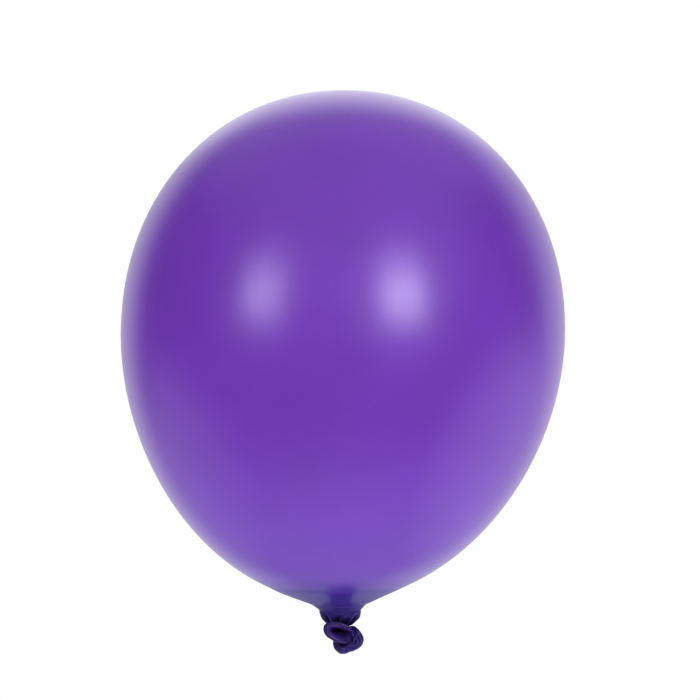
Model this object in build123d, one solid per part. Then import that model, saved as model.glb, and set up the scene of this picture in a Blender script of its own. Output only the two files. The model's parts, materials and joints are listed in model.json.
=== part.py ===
from build123d import *
import math
import os

# A latex balloon, inflated and tied by an overhand knot in its own neck.
# Millimetres. +Z runs up through the crown and the mouth faces -Y.
# The origin is at the tie: the waist between the gathered neck and the knot.

# Inflated film: a superellipse above the widest level and another below it
BODY_RADIUS = 140.0
EQUATOR_Z = 184.0
CROWN_HEIGHT = 153.0
BASE_DEPTH = 169.6
CROWN_POWER = 2.08
BASE_POWER = 1.9
FILM = 0.3                      # stands for the stretched film, which is thinner

# Neck, from the flare to the waist
SEAM_RADIUS = 26.0              # where the film stops bulging and starts to taper
SEAM_Z = 17.3
NECK_RADIUS = 13.7
BULB_TOP_Z = 11.0
BULB_RADIUS = 12.7
BULB_BASE_RADIUS = 12.1
BULB_BASE_Z = 5.7
WAIST_RADIUS = 9.2
WAIST_Z = 1.3
PLEAT_WALL = 0.6                # gathered film is folded on itself
GAP = 0.3                       # between regions that move against each other

# Tail of the neck, tied as an overhand knot
STRAND_RADIUS = 3.5
LOOP_TUBE = 3.6
LOOP_RADIUS = 6.6
LOOP_X = 3.6
LOOP_Z = -7.6
LOOP_END = 40.0                 # degrees past the loop's right-hand side
WRAP_TUBE = 2.6
WRAP_RADIUS = 5.0
WRAP_X = 0.8
WRAP_Z = -4.0
TAIL_TUBE = 2.5

# Mouth of the balloon, standing in front of the knot
TAIL_END = (3.0, -7.5, -7.4)    # the mouth folds about this point
THROAT_FORWARD = 1.5            # from the tail's end to the skirt's small end
THROAT_RADIUS = 3.4
LIP_CENTRE = (-1.9, -14.2, -3.7)
LIP_HALF_WIDTH = 8.2
LIP_HALF_HEIGHT = 5.2
LIP_BEAD = 1.0
LIP_SLOPE = 20.0                # degrees that the lip's long axis falls to the right
SKIRT_WALL = 0.5


def shell(outline, wall, start_tangent=None):
    """Revolve an outside outline, given from top to bottom, as a thin wall."""
    inside = []
    for index, (radius, height) in enumerate(outline):
        before = outline[max(index - 1, 0)]
        after = outline[min(index + 1, len(outline) - 1)]
        run = after[0] - before[0]
        rise = after[1] - before[1]
        step = math.hypot(run, rise)
        inner_radius = max(radius + wall * rise / step, 0.0)
        inside.append((inner_radius, height - wall * run / step))
    edges = []
    for line in (outline, inside):
        points = [(radius, 0, height) for radius, height in line]
        first = Vector(*points[1]) - Vector(*points[0])
        last = Vector(*points[-1]) - Vector(*points[-2])
        tangents = (start_tangent or first.normalized(), last.normalized())
        edges.append(Spline(*points, tangents=tangents))
    for end in (0, 1):
        edges.append(Line(edges[0] @ end, edges[1] @ end))
    return revolve(make_face(edges), Axis.Z, 360)


def superellipse(height, power, start, stop, steps):
    """Points of a superellipse about the widest level; angles in degrees."""
    points = []
    for step in range(steps + 1):
        angle = math.radians(start + (stop - start) * step / steps)
        across = max(math.cos(angle), 0.0) ** (2 / power)
        along = abs(math.sin(angle)) ** (2 / power)
        points.append((BODY_RADIUS * across, EQUATOR_Z + height * along))
    return points


def body_film():
    """The inflated envelope, open where the neck's taper carries on."""
    crown = superellipse(CROWN_HEIGHT, CROWN_POWER, 90, 0, 9)
    crown[0] = (0.0, EQUATOR_Z + CROWN_HEIGHT)
    base = superellipse(-BASE_DEPTH, BASE_POWER, 0, 72, 9)
    outline = crown + base[1:] + [(SEAM_RADIUS, SEAM_Z)]
    return shell(outline, FILM, start_tangent=Vector(1, 0, 0))


def neck_taper():
    """The flare from the envelope down to the neck."""
    outline = [
        (SEAM_RADIUS - GAP - 0.1, SEAM_Z - 0.2),
        (19.0, 14.6),
        (15.4, 12.9),
        (NECK_RADIUS + FILM, BULB_TOP_Z),
    ]
    return shell(outline, FILM)


def neck_bulb():
    """The small bulb of film between the taper and the pleats."""
    outline = [
        (BULB_RADIUS, BULB_TOP_Z),
        (BULB_RADIUS - 0.1, 8.5),
        (BULB_BASE_RADIUS, BULB_BASE_Z),
    ]
    return shell(outline, FILM)


def neck_pleats():
    """The gathered bowl that closes the neck round the strand."""
    hole = STRAND_RADIUS + GAP
    outline = [
        (BULB_BASE_RADIUS, BULB_BASE_Z),
        (10.9, 3.4),
        (WAIST_RADIUS, WAIST_Z),
    ]
    bowl = shell(outline, PLEAT_WALL)
    floor = Pos(0, 0, WAIST_Z) * Cylinder(
        WAIST_RADIUS, PLEAT_WALL, align=(Align.CENTER, Align.CENTER, Align.MIN)
    )
    bore = Cylinder(hole, 4 * WAIST_RADIUS)
    return bowl + floor - bore


def tube(path, radius):
    """A round tube along a path of lines and arcs."""
    section = Plane(origin=path @ 0, z_dir=path % 0) * Circle(radius)
    return sweep(section, path=path)


def neck_strand():
    """The neck, twisted thin, going straight down into the knot."""
    loop_start = LOOP_X - LOOP_RADIUS
    route = FilletPolyline(
        (0, 0, WAIST_Z + PLEAT_WALL),
        (0, 0, -2.3),
        (loop_start, 0, -6.0),
        (loop_start, 0, LOOP_Z),
        radius=4.0,
    )
    return tube(route, STRAND_RADIUS)


def knot_loop():
    """The loop that goes down the left, under, and up the right."""
    view = Plane(origin=(LOOP_X, 0, LOOP_Z), x_dir=(1, 0, 0), z_dir=(0, -1, 0))
    arc = view * CenterArc((0, 0), LOOP_RADIUS, 180, 180 + LOOP_END)
    return tube(arc, LOOP_TUBE)


def knot_wrap():
    """The turn that crosses in front of the strand and goes round behind."""
    level = Plane.XY.offset(WRAP_Z)
    arc = level * CenterArc((WRAP_X, 0), WRAP_RADIUS, -20, -180)
    return tube(arc, WRAP_TUBE)


def tail_strand():
    """The end that comes through the loop from behind, towards the mouth."""
    end_x, end_y, end_z = TAIL_END
    route = FilletPolyline(
        (-4.0, 1.6, WRAP_Z - 0.4),
        (-0.6, 6.3, -6.0),
        (end_x, 3.4, -7.3),
        (end_x, end_y, end_z),
        radius=3.2,
    )
    return tube(route, TAIL_TUBE) + Pos(*TAIL_END) * Sphere(TAIL_TUBE)


def mouth_plane(centre):
    """A plane facing -Y whose first axis falls to the right with the lip."""
    slope = math.radians(LIP_SLOPE)
    along = (math.cos(slope), 0, -math.sin(slope))
    return Plane(origin=centre, x_dir=along, z_dir=(0, -1, 0))


def rolled_lip():
    """The rolled bead round the mouth."""
    mouth = mouth_plane(LIP_CENTRE) * Ellipse(LIP_HALF_WIDTH, LIP_HALF_HEIGHT)
    return tube(mouth.edge(), LIP_BEAD)


def mouth_skirt():
    """The hollow funnel of film from the tail's end to the lip."""
    throat = (TAIL_END[0], TAIL_END[1] - THROAT_FORWARD, TAIL_END[2])
    ends = []
    for wall in (0.0, SKIRT_WALL):
        small = mouth_plane(throat) * Circle(THROAT_RADIUS - wall)
        large = mouth_plane(LIP_CENTRE) * Ellipse(
            LIP_HALF_WIDTH - wall, LIP_HALF_HEIGHT - wall
        )
        ends.append(loft([small, large]))
    return ends[0] - ends[1]


def knot_parts():
    """The four stretches of the knot, each cut where an earlier one lies."""
    stretches = {
        "neck_strand": neck_strand(),
        "knot_loop": knot_loop(),
        "knot_wrap": knot_wrap(),
        "tail_strand": tail_strand(),
    }
    placed = []
    for name, solid in stretches.items():
        for earlier in placed:
            solid = solid - earlier
        placed.append(solid)
        stretches[name] = solid
    return stretches


def main():
    os.makedirs("parts", exist_ok=True)
    bulb = neck_bulb()
    lip = rolled_lip()
    parts = {
        "body_film": body_film(),
        "neck_taper": neck_taper(),
        "neck_bulb": bulb,
        "neck_pleats": neck_pleats() - bulb,
        **knot_parts(),
        "mouth_skirt": mouth_skirt() - lip,
        "rolled_lip": lip,
    }
    for name, solid in parts.items():
        export_step(solid, f"parts/{name}.step")


main()
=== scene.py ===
import json
import math

import bpy
import numpy as np
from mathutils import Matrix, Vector, noise


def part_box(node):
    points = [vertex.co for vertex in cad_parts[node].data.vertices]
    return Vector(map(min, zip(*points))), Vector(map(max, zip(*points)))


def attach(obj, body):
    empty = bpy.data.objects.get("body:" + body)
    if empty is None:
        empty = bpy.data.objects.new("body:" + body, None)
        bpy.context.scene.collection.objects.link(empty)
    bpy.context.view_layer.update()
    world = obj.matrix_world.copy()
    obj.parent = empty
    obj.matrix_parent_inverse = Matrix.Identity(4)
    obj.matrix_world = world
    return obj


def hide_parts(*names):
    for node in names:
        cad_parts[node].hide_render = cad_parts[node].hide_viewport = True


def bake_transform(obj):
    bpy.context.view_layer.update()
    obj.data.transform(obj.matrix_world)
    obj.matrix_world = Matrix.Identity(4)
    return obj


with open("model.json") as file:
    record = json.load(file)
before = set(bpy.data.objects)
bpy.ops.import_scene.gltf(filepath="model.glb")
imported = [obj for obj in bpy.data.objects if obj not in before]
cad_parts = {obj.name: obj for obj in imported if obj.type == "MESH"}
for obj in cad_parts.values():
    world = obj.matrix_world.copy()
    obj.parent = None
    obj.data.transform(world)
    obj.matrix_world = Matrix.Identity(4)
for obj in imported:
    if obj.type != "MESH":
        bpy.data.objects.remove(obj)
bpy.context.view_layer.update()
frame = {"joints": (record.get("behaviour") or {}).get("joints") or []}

# Lengths in this script are millimetres, and meshes are scaled to metres when made.
MM = 0.001


def node_box(node):
    """Lowest and highest corner of a CAD node, in millimetres."""
    low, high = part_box(node)
    return np.array(low) / MM, np.array(high) / MM


# The inflated film: half of a wide superellipse over half of a deeper, sharper one
FILM_HIGH = node_box("body_film")[1]
BODY_RADIUS = FILM_HIGH[0]
CROWN_Z = FILM_HIGH[2]
EQUATOR_Z = 0.546 * CROWN_Z
CROWN_HEIGHT = CROWN_Z - EQUATOR_Z
BASE_DEPTH = 0.9217 * EQUATOR_Z
CROWN_POWER = 2.08
BASE_POWER = 1.9
BASE_SWEEP = 71                  # degrees of the lower curve, down to the flare

# The neck
NECK_RADIUS = node_box("neck_bulb")[1][0]
WAIST_Z = node_box("neck_pleats")[0][2]

# Where one film piece hands over to the next
JOINTS = {joint["name"]: joint for joint in frame["joints"]}
SEAM_Z = JOINTS["neck_sway"]["pos_m"][2] / MM

# The mouth
LIP_LOW, LIP_HIGH = node_box("rolled_lip")
LIP_WIDTH = LIP_HIGH[0] - LIP_LOW[0]
LIP_BEAD = 0.055 * LIP_WIDTH


def smoothstep(value):
    """0 below 0, 1 above 1, and an S-shaped rise between."""
    value = np.clip(value, 0.0, 1.0)
    return value * value * (3 - 2 * value)


def smooth_curve(points, per_span):
    """A Catmull-Rom curve through the points, as an array of rows."""
    points = np.array(points, float)
    padded = np.vstack([2 * points[0] - points[1], points, 2 * points[-1] - points[-2]])
    rows = []
    for index in range(len(points) - 1):
        before, start, stop, after = padded[index:index + 4]
        for step in range(per_span):
            t = step / per_span
            rows.append(0.5 * (
                2 * start
                + (stop - before) * t
                + (2 * before - 5 * start + 4 * stop - after) * t ** 2
                + (3 * start - before - 3 * stop + after) * t ** 3
            ))
    rows.append(points[-1])
    return np.array(rows)


def make_mesh(name, vertices, faces):
    """A smooth-shaded mesh object from points in millimetres."""
    mesh = bpy.data.meshes.new(name)
    mesh.from_pydata((np.array(vertices) * MM).tolist(), [], faces)
    mesh.validate()
    mesh.shade_smooth()
    piece = bpy.data.objects.new(name, mesh)
    bpy.context.scene.collection.objects.link(piece)
    return piece


def ring_mesh(name, rings, first_pole=None, last_pole=None):
    """A mesh from closed rings of points, closed by a fan at each given pole."""
    count, sides = len(rings), len(rings[0])
    vertices = [point for ring in rings for point in ring]
    faces = []
    for ring in range(count - 1):
        for side in range(sides):
            beside = (side + 1) % sides
            here, there = ring * sides, (ring + 1) * sides
            faces.append((here + side, here + beside, there + beside, there + side))
    for pole, start, flip in ((first_pole, 0, True), (last_pole, (count - 1) * sides, False)):
        if pole is None:
            continue
        vertices.append(pole)
        for side in range(sides):
            beside = (side + 1) % sides
            fan = (start + side, start + beside, len(vertices) - 1)
            faces.append(fan[::-1] if flip else fan)
    return make_mesh(name, vertices, faces)


def mark_creases(piece, rings):
    """Store how creased the film is at each ring point, from 0 to 1, on the mesh."""
    amounts = np.zeros(len(piece.data.vertices))
    amounts[:rings.size] = np.clip(rings, 0, 1).ravel()
    layer = piece.data.attributes.new("crease", "FLOAT", "POINT")
    layer.data.foreach_set("value", amounts)


# ---------------------------------------------------------------- the film

FILM_SIDES = 288
FILM_ANGLES = np.arange(FILM_SIDES) * 360.0 / FILM_SIDES         # degrees from the front
BODY_STEPS = 60                  # rings above the equator, and as many below it
NECK_STEPS = 16                  # rings in each span of the neck's outline
FOLD_ANGLES = (-49, -3, 25, 57, 92, 128, 163, 199, 236, 273)     # degrees from the front
FOLD_DEPTHS = (1.15, 0.85, 0.8, 1.15, 0.8, 0.9, 0.7, 1.0, 0.8, 0.9)
FOLD_WIDTHS = (7.5, 10.5, 9.0, 9.5, 8.0, 9.0, 8.0, 9.0, 8.0, 8.5)
FOLD_TOPS = (9.8, 8.8, 8.0, 9.0, 7.5, 8.5, 7.0, 8.5, 7.8, 8.2)
FOLD_GROWTH = 6.5                # height over which a fold reaches its full depth
FULL_FOLD = 2.0                  # depth at which a fold counts as fully creased
NECK_LEAN = -0.5
NECK_LEAN_TOP = 8.0              # the neck's own lean blends into the body's above it
LEAN_BLEND = 14.0
CROWN_LEAN = 2.4
LEAN_DROP = 7.0                  # from the crown's lean to that of a body carried on to 0
LEAN_FADE = 103.0


def lean(height):
    """How far the real film's centre line stands to the right of the axis."""
    drift = CROWN_LEAN - LEAN_DROP * np.exp(-height / LEAN_FADE)
    blend = smoothstep((height - NECK_LEAN_TOP) / LEAN_BLEND)
    return NECK_LEAN + (drift - NECK_LEAN) * blend


def body_outline():
    """Radius and height of the film from the crown down to the flare."""
    rows = []
    for angle in np.radians(np.linspace(90, 0, BODY_STEPS)):
        radius = BODY_RADIUS * max(math.cos(angle), 0.0) ** (2 / CROWN_POWER)
        rows.append((radius, EQUATOR_Z + CROWN_HEIGHT * math.sin(angle) ** (2 / CROWN_POWER)))
    for angle in np.radians(np.linspace(0, BASE_SWEEP, BODY_STEPS)[1:]):
        radius = BODY_RADIUS * math.cos(angle) ** (2 / BASE_POWER)
        rows.append((radius, EQUATOR_Z - BASE_DEPTH * math.sin(angle) ** (2 / BASE_POWER)))
    return rows


def neck_outline(flare):
    """Radius and height from the flare to the waist, and in to the strand under it."""
    return smooth_curve([
        flare,
        (37.0, 21.2),
        (28.7, 17.7),
        (22.1, 15.0),
        (17.3, SEAM_Z),
        (15.1, 11.3),
        (NECK_RADIUS + 0.6, 9.6),
        (NECK_RADIUS + 0.4, 7.8),
        (NECK_RADIUS - 0.1, 5.6),
        (NECK_RADIUS - 1.3, 3.7),
        (NECK_RADIUS - 2.6, 2.3),
        (NECK_RADIUS - 3.6, WAIST_Z),
        (7.6, 0.1),
        (5.2, -0.5),
        (3.4, -0.2),
    ], NECK_STEPS)


def fold_depth(height):
    """How far the gathers draw the film in at a height, at each film angle."""
    drawn = np.zeros(FILM_SIDES)
    for middle, depth, width, top in zip(FOLD_ANGLES, FOLD_DEPTHS, FOLD_WIDTHS, FOLD_TOPS):
        growth = smoothstep((top - height) / FOLD_GROWTH)
        away = (FILM_ANGLES - middle + 180) % 360 - 180
        spread_to = width * (0.8 + 0.5 * growth)
        inward = np.exp(-(away / spread_to) ** 2)
        shoulder = np.exp(-((abs(away) - 2.0 * spread_to) / (0.8 * spread_to)) ** 2)
        drawn = drawn + depth * growth * (2.9 * inward - 0.35 * shoulder)
    return drawn


def film_ring(radius, height):
    """One ring of film points at a height, with the lean and the gathers."""
    drawn = fold_depth(height)
    out = radius - drawn * min(radius / NECK_RADIUS, 1.0)
    turn = np.radians(FILM_ANGLES)
    pulled_up = 0.25 * drawn
    return np.column_stack([
        lean(height) + out * np.sin(turn),
        -out * np.cos(turn),
        height + pulled_up,
    ])


def split_outline():
    """The film's outline above the seam and below it, sharing the seam's ring."""
    body = body_outline()
    neck = neck_outline(body[-1])
    whole = np.vstack([body[:-1], neck])
    seam = int(np.argmin(np.abs(whole[:, 1] - SEAM_Z)))
    return whole[:seam + 1], whole[seam:]


def body_and_neck():
    """The inflated film down to the seam, and the gathered neck below it."""
    above, below = split_outline()
    crown = (lean(CROWN_Z), 0.0, CROWN_Z)
    film = ring_mesh("balloon_film", [film_ring(*row) for row in above[1:]], first_pole=crown)
    neck = ring_mesh("gathered_neck", [film_ring(*row) for row in below])
    drawn = np.array([fold_depth(height) for height in below[:, 1]])
    mark_creases(neck, drawn / FULL_FOLD)
    return film, neck


# ---------------------------------------------------------------- the knot

ROPE_SIDES = 112
FULL_CREASE = 0.7                # depth at which a crease counts as fully creased
END_CAP = 0.3                    # height of a rope's rounded end, over its radius
CREASE_START, CREASE_END = 0.8, 9.2        # the stations between which creases fan out
PINCH = (0.2, -11.7)             # where the knot's creases meet, x and z
# Each crease: degrees at the pinch, degrees it bends in a millimetre, depth
FAN = (
    (-4, 4.0, 0.95), (-21, 3.6, 0.8), (-38, 2.9, 0.95), (-58, 1.6, 0.8),
    (-84, 0.2, 0.4), (-114, -1.0, 0.55), (-150, -2.2, 0.5),
)


def frames_along(path):
    """Tangent and two normals at each point, carried along without twist."""
    tangent = np.gradient(path, axis=0)
    tangent /= np.linalg.norm(tangent, axis=1)[:, None]
    normal = np.array([0.0, -1.0, 0.0])
    across = []
    for direction in tangent:
        normal = normal - direction * normal.dot(direction)
        normal = normal / np.linalg.norm(normal)
        across.append(normal)
    across = np.array(across)
    return tangent, across, np.cross(tangent, across)


def groove(angle, middle, width):
    """A V-like valley round an angle, in degrees, with a rounded ridge each side."""
    away = np.abs((angle - middle + 180) % 360 - 180)
    valley = np.exp(-(away / width) ** 1.5)
    ridge = np.exp(-((away - 2.1 * width) / width) ** 2)
    return valley - 0.3 * ridge


def fan_depth(points, outward, along):
    """How deep the creases are that fan out over the knot's front from the pinch."""
    right, up = points[..., 0] - PINCH[0], points[..., 2] - PINCH[1]
    reach = np.hypot(right, up) + 1e-6
    angle = np.degrees(np.arctan2(up, right))
    drawn = 0.5 * np.exp(-(reach / 1.5) ** 2)
    for start, bend, depth in FAN:
        away = (angle - start - bend * reach + 180) % 360 - 180
        beside = np.abs(np.radians(away)) * reach
        width = 0.42 + 0.05 * reach
        crease = np.exp(-(beside / width) ** 1.4) - 0.35 * np.exp(-((beside / width - 2.0) / 0.9) ** 2)
        drawn = drawn + depth * crease * smoothstep((reach - 0.6) / 2.0) * np.exp(-reach / 10.0)
    front = smoothstep(0.3 - 1.5 * outward[..., 1])
    part = smoothstep((along - CREASE_START) / 0.8) * smoothstep((CREASE_END - along) / 1.2)
    return drawn * front * part[:, None]


def rope_mesh(name, stations, folds, per_span, wrinkle, pinched=False):
    """A tube of twisted film. A station is x, y, z, radius; a fold says where it
    starts and ends along the tube, its angle at both ends, its depth and its width."""
    rows = smooth_curve(stations, per_span)
    path, radii = rows[:, :3], rows[:, 3]
    tangent, first, second = frames_along(path)
    angle = np.arange(ROPE_SIDES) * 360.0 / ROPE_SIDES
    turn = np.radians(angle)
    along = np.linspace(0, len(stations) - 1, len(path))
    drawn = np.zeros((len(path), ROPE_SIDES))
    for start, stop, angle_start, angle_stop, depth, width in folds:
        part = (along - start) / (stop - start)
        middle = angle_start + (angle_stop - angle_start) * smoothstep(part)
        fade = smoothstep(part / 0.12) * smoothstep((1 - part) / 0.3)
        drawn += depth * fade[:, None] * groove(angle[None, :], middle[:, None], width)
    outward = (
        np.cos(turn)[None, :, None] * first[:, None, :]
        + np.sin(turn)[None, :, None] * second[:, None, :]
    )
    points = path[:, None, :] + radii[:, None, None] * outward
    if pinched:
        drawn += fan_depth(points, outward, along)
    lumps = np.array([
        [noise.fractal(Vector(point * 0.3), 1.0, 2.0, 2) for point in ring] for ring in points
    ])
    points = points + (wrinkle * lumps - drawn)[..., None] * outward
    first_end = path[0] - tangent[0] * END_CAP * radii[0]
    last_end = path[-1] + tangent[-1] * END_CAP * radii[-1]
    rope = ring_mesh(name, list(points), first_pole=first_end, last_pole=last_end)
    mark_creases(rope, drawn / FULL_CREASE)
    return rope


def neck_strand():
    """The neck, drawn in and twisted, from inside the gathers into the knot."""
    stations = [
        (0.0, 0.0, 3.4, 3.0),
        (0.0, 0.0, 1.2, 3.9),
        (-0.3, 0.0, -1.2, 4.3),
        (-1.0, -0.2, -3.6, 3.7),
        (-2.0, -0.6, -6.4, 3.4),
        (-2.6, -1.2, -9.4, 3.2),
    ]
    folds = [
        (0.0, 5.0, start, start + 150, 0.7, 11)
        for start in range(0, 360, 45)
    ]
    return rope_mesh("twisted_strand", stations, folds, per_span=22, wrinkle=0.1)


def knot_rope():
    """The loop, the turn round the strand and the tail, as one length of film."""
    stations = [
        (-2.0, -0.6, -6.2, 2.4),
        (-2.0, -2.0, -9.4, 3.0),
        (-1.3, -3.6, -12.7, 3.5),
        (1.0, -4.8, -14.6, 3.5),
        (4.3, -5.8, -13.4, 3.6),
        (7.7, -7.2, -12.0, 3.7),
        (10.2, -8.2, -9.5, 3.9),
        (10.0, -8.8, -6.1, 3.5),
        (8.7, -8.2, -3.1, 2.2),
        (7.2, -5.4, -1.7, 1.6),
        (4.4, -4.0, -2.9, 2.1),
        (1.6, -4.8, -3.4, 2.4),
        (-1.8, -5.4, -4.3, 2.5),
        (-5.0, -2.8, -5.0, 2.7),
        (-5.0, 1.6, -5.6, 2.9),
        (-2.0, 5.2, -6.4, 3.1),
        (2.4, 5.8, -7.2, 3.1),
        (5.0, 2.6, -7.8, 2.9),
        (4.4, -2.0, -7.6, 2.6),
        (3.0, -5.4, -6.8, 2.5),
        (2.5, -7.2, -6.4, 2.3),
    ]
    back = [
        (4.8, 9.4, 14 + 34 * step, -25 + 42 * step, 0.55, 11)
        for step in range(4)
    ]
    wrap = [
        (9.5, 18.5, 30 + 55 * step, 130 + 55 * step, 0.45, 10)
        for step in range(6)
    ]
    return rope_mesh(
        "knot_rope", stations, back + wrap, per_span=26, wrinkle=0.12, pinched=True,
    )


# ---------------------------------------------------------------- the mouth

LIP_TILT = math.radians(20)
LIP_CENTRE = np.array([-0.9, 0.5 * (LIP_LOW[1] + LIP_HIGH[1]) + 1.6, -4.1])
LIP_HALF_WIDTH = 0.548 * LIP_WIDTH
LIP_HALF_HEIGHT = 0.315 * LIP_WIDTH
LIP_SIDES = 200
LIP_TURN = np.linspace(0, 2 * math.pi, LIP_SIDES, endpoint=False)
LIP_SWING = 0.28                 # how far the oval's right end stands back, per millimetre
BEAD_SIDES = 24
INSIDE_STEPS = 64
FUNNEL_STEPS = 36
LIP_RIGHT = np.array([math.cos(LIP_TILT), 0.0, -math.sin(LIP_TILT)])
LIP_UP = np.array([math.sin(LIP_TILT), 0.0, math.cos(LIP_TILT)])
BACKWARD = np.array([0.0, 1.0, 0.0])
POCKET = np.array([-4.0, 0.3])   # the deepest part, along the oval and across it
TAIL_MOUTH = np.array([2.4, -7.2, -6.4])
TAIL_RADIUS = 2.75


def mouth_place(across, upward, depth):
    """A point from its place along and across the mouth's oval and its depth.
    The right end bends back, where the knot's arm lies over it."""
    bend = LIP_SWING * across + 0.07 * np.maximum(across - 3.5, 0.0) ** 2
    bend = bend + 0.35 * np.sin(0.5 * across + 0.4 * upward)
    return (
        LIP_CENTRE
        + np.multiply.outer(across, LIP_RIGHT)
        + np.multiply.outer(upward, LIP_UP)
        + np.multiply.outer(bend + depth, BACKWARD)
    )


def lip_oval():
    """Places along and across the oval, round the bead's centre line."""
    swell = 1 + 0.012 * np.sin(3 * LIP_TURN + 0.5) + 0.008 * np.sin(7 * LIP_TURN)
    flatter_below = 0.96 + 0.04 * np.sin(LIP_TURN)
    upward = LIP_HALF_HEIGHT * swell * flatter_below * np.sin(LIP_TURN)
    return LIP_HALF_WIDTH * swell * np.cos(LIP_TURN), upward


def rolled_lip():
    """The bead: a closed tube round the mouth's oval."""
    centre = mouth_place(*lip_oval(), np.zeros(LIP_SIDES))
    forward = np.roll(centre, -1, axis=0) - np.roll(centre, 1, axis=0)
    forward /= np.linalg.norm(forward, axis=1)[:, None]
    outward = np.cross(forward, -BACKWARD)
    outward /= np.linalg.norm(outward, axis=1)[:, None]
    front = np.cross(outward, forward)
    section = np.linspace(0, 2 * math.pi, BEAD_SIDES, endpoint=False)
    swell = 1 + 0.06 * np.sin(5 * LIP_TURN) + 0.04 * np.sin(11 * LIP_TURN + 1)
    reach = LIP_BEAD * swell[:, None, None]
    points = centre[:, None, :] + reach * (
        np.cos(section)[None, :, None] * outward[:, None, :]
        + np.sin(section)[None, :, None] * front[:, None, :]
    )
    faces = []
    for ring in range(LIP_SIDES):
        for side in range(BEAD_SIDES):
            beside = (side + 1) % BEAD_SIDES
            here, there = ring * BEAD_SIDES, (ring + 1) % LIP_SIDES * BEAD_SIDES
            faces.append((here + side, there + side, there + beside, here + beside))
    return make_mesh("rolled_lip_bead", points.reshape(-1, 3), faces)


def valley(across, upward, start, stop, start_height, slope, width):
    """1 along a straight crease inside the mouth, fading off it and at its ends."""
    off = (upward - start_height - slope * (across - start)) / width
    ends = smoothstep((across - start) / 1.5) * smoothstep((stop - across) / 3.0)
    return ends * np.exp(-np.abs(off) ** 1.6)


def mouth_depth(across, upward):
    """How far the film inside the mouth stands back from the lip: a bowl with a deeper
    pocket on the left, a slit across it, a crease above and a ridge between the two."""
    rim = smoothstep((1 - np.hypot(across / LIP_HALF_WIDTH, upward / LIP_HALF_HEIGHT)) / 0.12)
    under_arm = LIP_HALF_WIDTH * (1 + 0.35 * smoothstep(across / 4.0))
    inward = 1 - np.hypot(across / under_arm, upward / LIP_HALF_HEIGHT)
    bowl = 3.0 * rim * smoothstep((inward - 0.1) / 0.78)
    pocket = np.exp(-((across - POCKET[0]) / 2.9) ** 2 - ((upward - POCKET[1]) / 1.5) ** 2)
    slit = valley(across, upward, -4.5, 9.0, start_height=0.3, slope=0.19, width=0.85)
    upper = valley(across, upward, 0.2, 8.5, start_height=3.2, slope=-0.29, width=0.5)
    ridge = valley(across, upward, -0.5, 7.5, start_height=2.1, slope=-0.12, width=0.6)
    fine = 0.035 * np.sin(13 * np.arctan2(upward, across) + across) * smoothstep(inward / 0.3)
    deeper_above = 1 + 0.28 * upward / LIP_HALF_HEIGHT
    return deeper_above * bowl + 1.8 * pocket + 1.2 * slit + 0.7 * upper - 0.6 * ridge + fine


def mouth_inside():
    """The film inside the lip: a broad soft rim falling into a folded pocket."""
    across, upward = lip_oval()
    in_front = 0.95 * LIP_BEAD
    rings = []
    for step in range(INSIDE_STEPS):
        inward = step / INSIDE_STEPS
        here_across = across + (POCKET[0] - across) * inward
        here_upward = upward + (POCKET[1] - upward) * inward
        depth = mouth_depth(here_across, here_upward) - in_front
        rings.append(mouth_place(here_across, here_upward, depth))
    pole = mouth_place(*POCKET, mouth_depth(*POCKET) - in_front)
    return ring_mesh("mouth_inside", rings, last_pole=pole)


def mouth_funnel():
    """The trumpet behind the lip, drawn in round the end of the tail."""
    large = mouth_place(*lip_oval(), np.full(LIP_SIDES, 0.6))
    small = TAIL_MOUTH + TAIL_RADIUS * (
        np.multiply.outer(np.cos(LIP_TURN), LIP_RIGHT)
        + np.multiply.outer(np.sin(LIP_TURN), LIP_UP)
    )
    rings = []
    for step in range(FUNNEL_STEPS + 1):
        inward = step / FUNNEL_STEPS
        ring = large + (small - large) * inward ** 1.1
        ring[:, 1] = large[:, 1] + (small[:, 1] - large[:, 1]) * inward ** 0.6
        flute = 1 + 0.035 * np.sin(13 * LIP_TURN + 3 * inward) * math.sin(math.pi * inward)
        rings.append(TAIL_MOUTH + (ring - TAIL_MOUTH) * flute[:, None])
    return ring_mesh("mouth_funnel", rings, last_pole=TAIL_MOUTH + 0.6 * BACKWARD)


# ---------------------------------------------------------------- materials

# Colours from the body of the film down to the gathers, then those of the knot
FILM_COLOUR = (0.178, 0.034, 0.52)
LOWER_COLOUR = (0.162, 0.034, 0.53)
BASE_COLOUR = (0.13, 0.028, 0.46)
FLARE_COLOUR = (0.066, 0.013, 0.355)
THROAT_COLOUR = (0.036, 0.012, 0.25)
NECK_COLOUR = (0.048, 0.027, 0.24)
BULB_COLOUR = (0.034, 0.017, 0.195)
GATHER_COLOUR = (0.024, 0.012, 0.14)
KNOT_COLOUR = (0.037, 0.017, 0.168)
MOUTH_COLOUR = (0.043, 0.018, 0.182)
LIP_COLOUR = (0.027, 0.012, 0.118)

# Noise scales, in features to the metre, and the depths of the fine surface
CLOUD_SCALE = 22.0
RUB_SCALE = 160.0
SKIN_SCALE = 700.0
SHEEN_SCALE = 900.0
FLECK_SCALE = 2600.0
SKIN_DEPTH = 0.2
# how far the ambient occlusion of the painted fold shade reaches
FOLD_SHADE_REACH = 2.6


def new_material(name):
    """A material, its node tree and its shader."""
    material = bpy.data.materials.new(name)
    material.use_nodes = True
    tree = material.node_tree
    return material, tree, tree.nodes["Principled BSDF"]


def link(tree, source, target):
    """Join an output socket to an input socket."""
    tree.links.new(source, target)


def noise_node(tree, place, scale, detail):
    """A noise texture in object space."""
    node = tree.nodes.new("ShaderNodeTexNoise")
    node.inputs["Scale"].default_value = scale
    node.inputs["Detail"].default_value = detail
    link(tree, place, node.inputs["Vector"])
    return node.outputs["Fac"]


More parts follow.
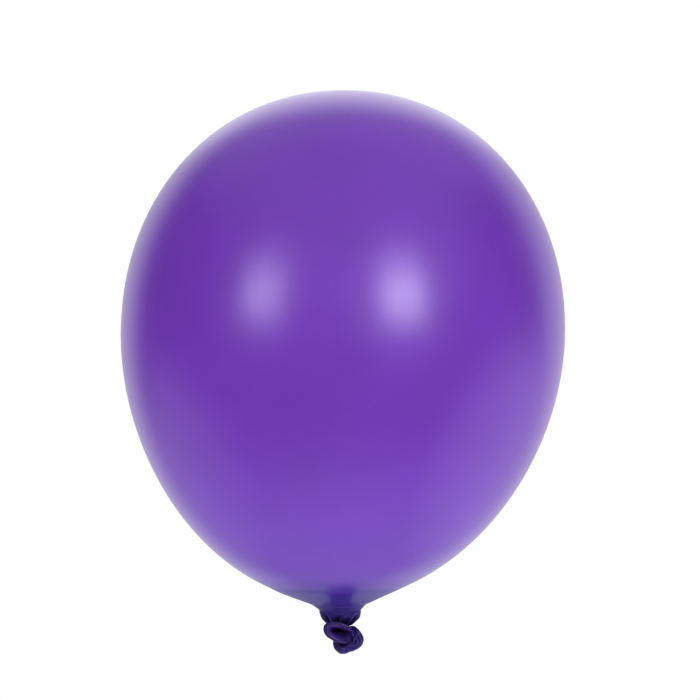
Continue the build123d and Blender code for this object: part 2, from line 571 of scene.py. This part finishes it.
def spread(tree, value, low, high):
    """Map a noise value, which lies mostly within 0.3 to 0.7, onto a range."""
    node = tree.nodes.new("ShaderNodeMapRange")
    node.inputs["From Min"].default_value = 0.3
    node.inputs["From Max"].default_value = 0.7
    node.inputs["To Min"].default_value = low
    node.inputs["To Max"].default_value = high
    link(tree, value, node.inputs["Value"])
    return node.outputs["Result"]


def fall(tree, value, start, stop, at_start, at_stop):
    """Map a value in millimetres from one range to another, smoothly."""
    node = tree.nodes.new("ShaderNodeMapRange")
    node.interpolation_type = "SMOOTHSTEP"
    node.inputs["From Min"].default_value = start * MM
    node.inputs["From Max"].default_value = stop * MM
    node.inputs["To Min"].default_value = at_start
    node.inputs["To Max"].default_value = at_stop
    link(tree, value, node.inputs["Value"])
    return node.outputs["Result"]


def combine(tree, operation, first, second):
    """One arithmetic step on two values, the second a socket or a number."""
    node = tree.nodes.new("ShaderNodeMath")
    node.operation = operation
    link(tree, first, node.inputs[0])
    if isinstance(second, float):
        node.inputs[1].default_value = second
    else:
        link(tree, second, node.inputs[1])
    return node.outputs["Value"]


def multiply_colour(tree, colour, factor):
    """Colour times a grey factor."""
    node = tree.nodes.new("ShaderNodeMix")
    node.data_type = "RGBA"
    node.blend_type = "MULTIPLY"
    node.inputs["Factor"].default_value = 1.0
    link(tree, colour, node.inputs["A"])
    link(tree, factor, node.inputs["B"])
    return node.outputs["Result"]


def height_of(tree, place):
    """The height part of an object-space position."""
    split = tree.nodes.new("ShaderNodeSeparateXYZ")
    link(tree, place, split.inputs["Vector"])
    return split.outputs["Z"]


def height_ramp(tree, place, stops):
    """A colour ramp over object height. The lowest stop comes first and the highest next."""
    low, high = stops[0][0], stops[1][0]
    scale = tree.nodes.new("ShaderNodeMapRange")
    scale.inputs["From Min"].default_value = low * MM
    scale.inputs["From Max"].default_value = high * MM
    link(tree, height_of(tree, place), scale.inputs["Value"])
    ramp = tree.nodes.new("ShaderNodeValToRGB")
    ramp.color_ramp.interpolation = "B_SPLINE"
    elements = ramp.color_ramp.elements
    for index, (height, colour) in enumerate(stops):
        position = (height - low) / (high - low)
        element = elements[index] if index < 2 else elements.new(position)
        element.position = position
        element.color = (*colour, 1)
    link(tree, scale.outputs["Result"], ramp.inputs["Fac"])
    return ramp.outputs["Color"]


def offset_along(tree, place, direction):
    """How far a point lies from the mouth's centre along a direction."""
    offset = tree.nodes.new("ShaderNodeVectorMath")
    offset.operation = "SUBTRACT"
    offset.inputs[1].default_value = Vector(LIP_CENTRE) * MM
    link(tree, place, offset.inputs[0])
    dot = tree.nodes.new("ShaderNodeVectorMath")
    dot.operation = "DOT_PRODUCT"
    dot.inputs[1].default_value = Vector(direction)
    link(tree, offset.outputs["Vector"], dot.inputs[0])
    return dot.outputs["Value"]


def depth_in_mouth(tree, place):
    """How far a point lies behind the lip's slanted plane."""
    return offset_along(tree, place, BACKWARD - LIP_SWING * LIP_RIGHT)


def crown_shade(tree, place):
    """The thicker, darker spot where the film is stretched least, on the crown."""
    return fall(tree, height_of(tree, place), CROWN_Z - 1.1, CROWN_Z - 0.1, 1.0, 0.7)


def crease_factor(tree, deepest):
    """1 on smooth film, falling to the given value in the deepest marked crease."""
    crease = tree.nodes.new("ShaderNodeAttribute")
    crease.attribute_name = "crease"
    level = tree.nodes.new("ShaderNodeMapRange")
    level.inputs["To Min"].default_value = 1.0
    level.inputs["To Max"].default_value = deepest
    link(tree, crease.outputs["Fac"], level.inputs["Value"])
    return level.outputs["Result"]


def painted_fold_shade(tree, place):
    """Painted shade: darker where the gathers and the knot are folded against themselves, from ambient
    occlusion and the marked creases.
    """
    near = tree.nodes.new("ShaderNodeAmbientOcclusion")
    near.samples = 8
    near.inputs["Distance"].default_value = FOLD_SHADE_REACH * MM
    level = tree.nodes.new("ShaderNodeMapRange")
    level.inputs["From Min"].default_value = 0.25
    level.inputs["From Max"].default_value = 0.85
    level.inputs["To Min"].default_value = 0.25
    link(tree, near.outputs["AO"], level.inputs["Value"])
    return combine(tree, "MULTIPLY", level.outputs["Result"], crease_factor(tree, 0.22))


def latex(name, stops, rough, pearl, flecks, peel, shade, clear):
    """Pearl latex: height colour, uneven film, mica flecks and a fine skin. The mica
    is a broad tinted gloss under a tighter clear one, which is duller on slack film."""
    material, tree, shader = new_material(name)
    place = tree.nodes.new("ShaderNodeTexCoord").outputs["Object"]
    # the shade brings painted shade or painted light on the gathers, knot, bead and mouth, and the
    # real darker spot on the crown
    colour = multiply_colour(tree, height_ramp(tree, place, stops), shade(tree, place))
    cloud = spread(tree, noise_node(tree, place, CLOUD_SCALE, 3.0), 0.95, 1.05)
    fleck = spread(tree, noise_node(tree, place, FLECK_SCALE, 1.0), 1 - flecks, 1 + flecks)
    colour = multiply_colour(tree, multiply_colour(tree, colour, cloud), fleck)
    link(tree, colour, shader.inputs["Base Color"])
    sheen = spread(tree, noise_node(tree, place, SHEEN_SCALE, 2.0), 0.47, 0.53)
    link(tree, sheen, shader.inputs["Roughness"])
    shader.inputs["Metallic"].default_value = pearl
    shader.inputs["Specular IOR Level"].default_value = 0.0
    link(tree, clear(tree, place), shader.inputs["Coat Weight"])
    shader.inputs["Coat Roughness"].default_value = rough
    shader.inputs["Coat IOR"].default_value = 1.5
    skin = tree.nodes.new("ShaderNodeBump")
    skin.inputs["Strength"].default_value = peel
    skin.inputs["Distance"].default_value = SKIN_DEPTH * MM
    link(tree, noise_node(tree, place, SKIN_SCALE, 3.0), skin.inputs["Height"])
    link(tree, skin.outputs["Normal"], shader.inputs["Normal"])
    return material


def film_material(name, shade):
    """Stretched film, darker and bluer where the neck is slack and thick."""
    stops = [
        (0.0, GATHER_COLOUR),
        (120.0, FILM_COLOUR),
        (11.0, BULB_COLOUR),
        (16.0, NECK_COLOUR),
        (21.0, THROAT_COLOUR),
        (26.0, FLARE_COLOUR),
        (31.0, BASE_COLOUR),
        (62.0, LOWER_COLOUR),
    ]

    def clear(tree, place):
        return fall(tree, height_of(tree, place), 11.0, 36.0, 0.3, 1.0)

    return latex(
        name, stops, rough=0.295, pearl=0.1, flecks=0.05, peel=0.05, shade=shade, clear=clear,
    )


def slack_clear(tree, place):
    """The clear gloss of slack latex, rubbed unevenly."""
    rubbed = spread(tree, noise_node(tree, place, RUB_SCALE, 2.0), 0.4, 0.7)
    return combine(tree, "MULTIPLY", rubbed, crease_factor(tree, 0.1))


def knot_material():
    """Slack latex: dark, darkest at the pinched end, with a coarser skin. Its creases and folds carry
    painted shade, and painted light makes it lighter toward the right and darker on the left.
    """
    def shade(tree, place):
        # painted light and shade: lighter toward the right, where the light falls, darker on the left
        # lobe
        painted_light_right = fall(tree, offset_along(tree, place, LIP_RIGHT), 1.0, 8.0, 0.8, 1.25)
        return combine(tree, "MULTIPLY", painted_fold_shade(tree, place), painted_light_right)

    stops = [(-20.0, KNOT_COLOUR), (4.0, GATHER_COLOUR)]
    return latex(
        "slack_latex", stops, rough=0.3, pearl=0.2, flecks=0.08, peel=0.2,
        shade=shade, clear=slack_clear,
    )


def lip_material():
    """The rolled bead, like the knot but smoother, with painted shade in its folds."""
    stops = [(-12.0, LIP_COLOUR), (4.0, LIP_COLOUR)]
    return latex(
        "lip_latex", stops, rough=0.36, pearl=0.2, flecks=0.08, peel=0.15,
        shade=painted_fold_shade, clear=slack_clear,
    )


def mouth_material():
    """The film inside the mouth, with painted shade that darkens it with depth."""
    def shade(tree, place):
        # painted shade: the deeper inside the mouth, the darker the film
        return fall(tree, depth_in_mouth(tree, place), -0.3, 2.7, 1.0, 0.08)

    def clear(tree, place):
        with_depth = fall(tree, depth_in_mouth(tree, place), -0.3, 2.4, 0.5, 0.03)
        under_arm = fall(tree, offset_along(tree, place, LIP_RIGHT), 2.0, 7.0, 1.0, 0.1)
        return combine(tree, "MULTIPLY", with_depth, under_arm)

    stops = [(-12.0, MOUTH_COLOUR), (4.0, MOUTH_COLOUR)]
    return latex(
        "mouth_latex", stops, rough=0.36, pearl=0.2, flecks=0.08, peel=0.15,
        shade=shade, clear=clear,
    )


# ---------------------------------------------------------------- studio

VIEW_WIDTH = 441.4               # millimetres across the picture at the balloon
VIEW_CENTRE = (5.7, 173.4)
CAMERA_DISTANCE = 3000.0
SENSOR = 36.0
SOFTBOX_DISTANCE = 1200.0
FLOOR_Z = -320.0                 # the balloon is held above it
FLOOR_RADIUS = 1500.0
FLOOR_SIDES = 96
ROOM_GLOSS = 0.04                # brightness of the room in front, as the gloss sees it
ROOM_SHOWN = 0.84                # the same where the camera sees it directly
ROOM_FILL = 0.7                  # the same for the soft fill light


def camera():
    """A long lens level with the middle of the view, looking along +Y."""
    data = bpy.data.cameras.new("camera")
    data.sensor_width = SENSOR
    data.lens = SENSOR * CAMERA_DISTANCE / VIEW_WIDTH
    item = bpy.data.objects.new("camera", data)
    item.location = Vector((VIEW_CENTRE[0], -CAMERA_DISTANCE, VIEW_CENTRE[1])) * MM
    item.rotation_euler = (math.radians(90), 0, 0)
    bpy.context.scene.collection.objects.link(item)
    bpy.context.scene.camera = item


def softbox(name, azimuth, elevation, width, height, brightness):
    """A rectangular soft light that faces the balloon's middle and only lights its gloss."""
    data = bpy.data.lights.new(name, "AREA")
    data.shape = "RECTANGLE"
    data.size = width * MM
    data.size_y = height * MM
    data.energy = brightness * math.pi * data.size * data.size_y
    item = bpy.data.objects.new(name, data)
    turn, rise = math.radians(azimuth), math.radians(elevation)
    out = Vector((
        math.sin(turn) * math.cos(rise), -math.cos(turn) * math.cos(rise), math.sin(rise),
    ))
    middle = Vector((0, 0, EQUATOR_Z)) * MM
    item.location = middle + out * SOFTBOX_DISTANCE * MM
    item.rotation_euler = out.to_track_quat("Z", "Y").to_euler()
    item.visible_diffuse = False
    bpy.context.scene.collection.objects.link(item)


def glow(tree, direction, axis, inner, outer):
    """1 within inner degrees of an axis, falling smoothly to 0 at outer degrees."""
    dot = tree.nodes.new("ShaderNodeVectorMath")
    dot.operation = "DOT_PRODUCT"
    dot.inputs[1].default_value = Vector(axis).normalized()
    link(tree, direction, dot.inputs[0])
    ramp = tree.nodes.new("ShaderNodeMapRange")
    ramp.interpolation_type = "SMOOTHSTEP"
    ramp.inputs["From Min"].default_value = math.cos(math.radians(outer))
    ramp.inputs["From Max"].default_value = math.cos(math.radians(inner))
    link(tree, dot.outputs["Value"], ramp.inputs["Value"])
    return ramp.outputs["Result"]


def sky(tree, direction, room, lobes):
    """A white background: the room's own level, and the brightest lobe over it."""
    strength = None
    for axis, inner, outer, brightness in lobes:
        lobe = combine(tree, "MULTIPLY", glow(tree, direction, axis, inner, outer), brightness - room)
        strength = combine(tree, "MAXIMUM", lobe, strength) if strength else lobe
    node = tree.nodes.new("ShaderNodeBackground")
    node.inputs["Color"].default_value = (1, 1, 1, 1)
    link(tree, combine(tree, "ADD", strength, room), node.inputs["Strength"])
    return node.outputs["Background"]


def choose(tree, switch, first, second):
    """The first shader, or the second where the switch is 1."""
    node = tree.nodes.new("ShaderNodeMixShader")
    link(tree, switch, node.inputs["Fac"])
    link(tree, first, node.inputs[1])
    link(tree, second, node.inputs[2])
    return node.outputs["Shader"]


# Each: name, degrees right of the camera, degrees up, width, height, brightness
SOFTBOXES = (
    ("left_softbox", -40, 13.4, 390, 340, 7.5),
    ("left_spill", -40, 26.5, 390, 190, 2.4),
    ("right_softbox", 29.5, 12.2, 420, 330, 11.0),
    ("right_spill", 29.5, 25.5, 420, 200, 3.6),
)
# Each: axis, degrees that are full, degrees where it ends, brightness
GLOSS_LOBES = (
    ((0.08, 1.0, 0.0), 40, 62, 1.0),          # white paper behind
    ((0.0, 0.87, 0.5), 12, 32, 1.7),          # its lit top
    ((0.0, 0.0, -1.0), 10, 52, 0.95),         # white table below
    ((0.0, 0.8, -0.7), 35, 60, 0.33),         # the curve between them
    ((0.84, 0.25, -0.6), 18, 40, 1.2),        # reflector card low on the right
    ((-0.76, 0.3, -0.66), 16, 38, 0.85),      # a weaker one low on the left
    ((0.35, -0.8, 0.75), 35, 55, 0.5),        # room light above the camera
    ((0.0, 0.0, 1.0), 35, 60, 0.6),           # ceiling
)
PAPER_LOBES = (
    ((0.0, 1.0, 0.0), 50, 110, 1.0),
)
FILL_LOBES = (
    ((0.0, 0.0, -1.0), 30, 85, 1.22),
    ((0.1, -1.0, 0.0), 50, 100, 0.87),
    ((0.8, -0.6, 0.1), 20, 80, 0.98),
)


def studio_world():
    """A white sweep behind and under the balloon, and a dimmer room in front."""
    world = bpy.data.worlds.new("studio")
    world.use_nodes = True
    bpy.context.scene.world = world
    tree = world.node_tree
    tree.nodes.clear()
    direction = tree.nodes.new("ShaderNodeTexCoord").outputs["Generated"]
    seen = sky(tree, direction, ROOM_GLOSS, GLOSS_LOBES)
    fill = sky(tree, direction, ROOM_FILL, FILL_LOBES)
    shown = sky(tree, direction, ROOM_SHOWN, PAPER_LOBES)
    path = tree.nodes.new("ShaderNodeLightPath")
    lighting = choose(tree, path.outputs["Is Diffuse Ray"], seen, fill)
    everything = choose(tree, path.outputs["Is Camera Ray"], lighting, shown)
    output = tree.nodes.new("ShaderNodeOutputWorld")
    link(tree, everything, output.inputs["Surface"])


def floor():
    """A plain pale floor below the held balloon, lit evenly."""
    turn = np.linspace(0, 2 * math.pi, FLOOR_SIDES, endpoint=False)
    height = np.full(FLOOR_SIDES, FLOOR_Z)
    rings = [
        np.column_stack([radius * np.cos(turn), radius * np.sin(turn), height])
        for radius in (FLOOR_RADIUS, 0.5 * FLOOR_RADIUS)
    ]
    item = ring_mesh("studio_floor", rings, last_pole=(0, 0, FLOOR_Z))
    material = bpy.data.materials.new("floor_paper")
    material.use_nodes = True
    tree = material.node_tree
    tree.nodes.clear()
    paper = tree.nodes.new("ShaderNodeEmission")
    paper.inputs["Color"].default_value = (0.98, 0.98, 0.985, 1)
    output = tree.nodes.new("ShaderNodeOutputMaterial")
    link(tree, paper.outputs["Emission"], output.inputs["Surface"])
    item.data.materials.append(material)
    item.visible_diffuse = False
    item.visible_glossy = False
    item.visible_shadow = False


def dress(piece, material):
    """Give a piece its material."""
    piece.data.materials.append(material)


def build():
    """Make the pieces, put the knot and mouth pieces on their bodies and dress each."""
    knot_look = knot_material()

    film, neck = body_and_neck()
    dress(film, film_material("stretched_film", crown_shade))
    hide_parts("body_film", "neck_taper")
    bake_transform(film)
    # the neck film carries painted shade in its gathers and creases
    dress(neck, film_material("neck_film", painted_fold_shade))
    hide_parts("neck_bulb", "neck_pleats")
    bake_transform(neck)

    strand = neck_strand()
    dress(strand, knot_look)
    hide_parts("neck_strand")
    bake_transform(strand)
    rope = knot_rope()
    dress(rope, knot_look)
    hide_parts("knot_loop", "knot_wrap", "tail_strand")
    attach(rope, "knot")

    inside = mouth_inside()
    dress(inside, mouth_material())
    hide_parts("mouth_skirt")
    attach(inside, "mouth")
    funnel = mouth_funnel()
    dress(funnel, knot_look)
    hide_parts("mouth_skirt")
    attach(funnel, "mouth")
    lip = rolled_lip()
    dress(lip, lip_material())
    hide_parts("rolled_lip")
    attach(lip, "mouth")


build()
studio_world()
for light in SOFTBOXES:
    softbox(*light)
floor()
camera()
bpy.context.scene.view_settings.view_transform = "Standard"
